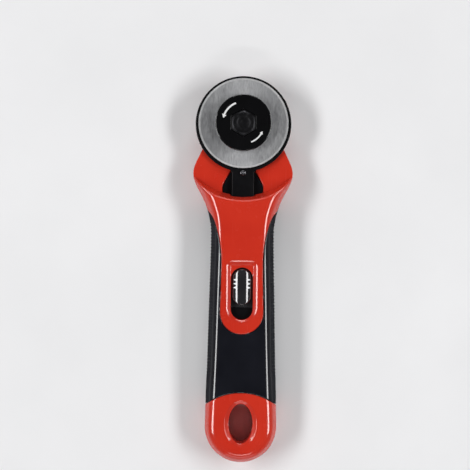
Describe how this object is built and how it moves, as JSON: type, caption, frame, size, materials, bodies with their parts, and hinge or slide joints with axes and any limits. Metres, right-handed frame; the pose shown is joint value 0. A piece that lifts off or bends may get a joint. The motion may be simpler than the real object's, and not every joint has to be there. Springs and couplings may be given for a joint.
{
  "type": "rotary cutter",
  "caption": "Rotary cutter for fabric: a round blade on an axle at the head of a two-colour handle, with a sliding guard worked by a thumb button and a hole to hang it up.",
  "frame": {"origin": "centre of the part's base, where it lies on its back", "axes": "+Z out of the front, +Y from the handle to the blade, +X across to the right"},
  "size_m": [0.0502, 0.1936, 0.0206],
  "materials": {
    "red_plastic": "glossy moulded red plastic",
    "grip_rubber": "matt black soft rubber",
    "plated_steel": "plain plated steel",
    "spring_steel": "bright spring steel",
    "black_steel": "black oxide",
    "black_gloss": "polished black plastic",
    "black_plastic": "satin black plastic",
    "brass": "turned brass",
    "blade_steel": "ground tungsten steel with a bright bevel"
  },
  "bodies": {
    "handle": {"front_shell": "red_plastic", "rear_shell": "red_plastic", "front_grip": "grip_rubber", "rear_grip": "grip_rubber", "body_screws": "plated_steel", "detent_spring": "spring_steel", "axle_bolt": "black_steel", "axle_bush": "plated_steel", "blade_cap": "black_gloss", "blade_washer": "plated_steel", "wave_washer": "spring_steel", "nut_washer": "plated_steel"},
    "blade_disc": {"blade": "blade_steel"},
    "guard_slider": {"guard": "black_plastic", "guard_rivet": "black_steel", "slide_carrier": "black_plastic", "button_spring": "spring_steel"},
    "button": {"thumb_button": "black_gloss"},
    "nut": {"clamp_nut": "black_plastic", "nut_insert": "brass"}
  },
  "joints": [
    {"name": "blade_spin", "type": "hinge", "parent": "handle", "child": "blade_disc", "pos_m": [0, 0.07322, 0.015], "axis": [0, 0, 1], "continuous": true},
    {"name": "guard_slide", "type": "slide", "parent": "handle", "child": "guard_slider", "axis": [0, -1, 0], "range_m": [0, 0.0068]},
    {"name": "button_press", "type": "slide", "parent": "guard_slider", "child": "button", "axis": [0, 0, -1], "range_m": [0, 0.0012], "stiffness_N_per_m": 800, "springref_m": -0.0004, "deforming": ["button_spring"]},
    {"name": "clamp_nut_spin", "type": "hinge", "parent": "handle", "child": "nut", "pos_m": [0, 0.07322, 0.003], "axis": [0, 0, 1], "continuous": true}
  ]
}
